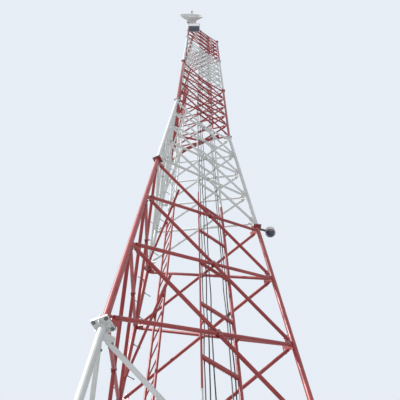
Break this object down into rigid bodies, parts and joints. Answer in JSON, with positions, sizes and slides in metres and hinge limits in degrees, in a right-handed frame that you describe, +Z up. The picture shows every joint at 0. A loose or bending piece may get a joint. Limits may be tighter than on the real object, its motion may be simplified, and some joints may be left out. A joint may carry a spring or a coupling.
{
  "type": "radio mast",
  "caption": "Three-legged tubular steel lattice mast in red and white bands, with a feeder ladder, a climbing ladder, a lamp arm, and a dish aerial and a cabinet beside one leg near the top.",
  "frame": {"origin": "centre of the front leg's base plate, on its underside", "axes": "+Z up along the mast, -Y towards the viewer's side, +X to the right; the front leg stands on -Y and the other two legs behind it"},
  "size_m": [4.5738, 3.961, 36.05],
  "materials": {
    "white_paint": "gloss",
    "red_paint": "gloss",
    "galvanised": "satin",
    "dark_steel": "matte",
    "cable_black": "matte",
    "dish_white": "satin",
    "lens": "gloss"
  },
  "bodies": {
    "root": {"back_bracing_red": "red_paint", "back_bracing_white": "white_paint", "base_plates": "white_paint", "cabinet_brackets": "galvanised", "cabinet_case": "dish_white", "cabinet_floor": "dark_steel", "climbing_ladder_red": "red_paint", "climbing_ladder_white": "white_paint", "climbing_stays_red": "red_paint", "climbing_stays_white": "white_paint", "dish_clamps": "galvanised", "dish_feed": "dish_white", "dish_hub": "dish_white", "dish_post": "dish_white", "dish_post_arms": "galvanised", "dish_reflector": "dish_white", "dish_yoke": "dish_white", "feeder_cables": "cable_black", "feeder_ladder_red": "red_paint", "feeder_ladder_white": "white_paint", "lamp_arm": "dark_steel", "lamp_housing": "dish_white", "lamp_lens": "lens", "left_bracing_red": "red_paint", "left_bracing_white": "white_paint", "leg_caps": "dish_white", "legs_red": "red_paint", "legs_white": "white_paint", "right_bracing_red": "red_paint", "right_bracing_white": "white_paint", "step_bolts": "dark_steel", "taper_frame": "red_paint"}
  },
  "joints": []
}
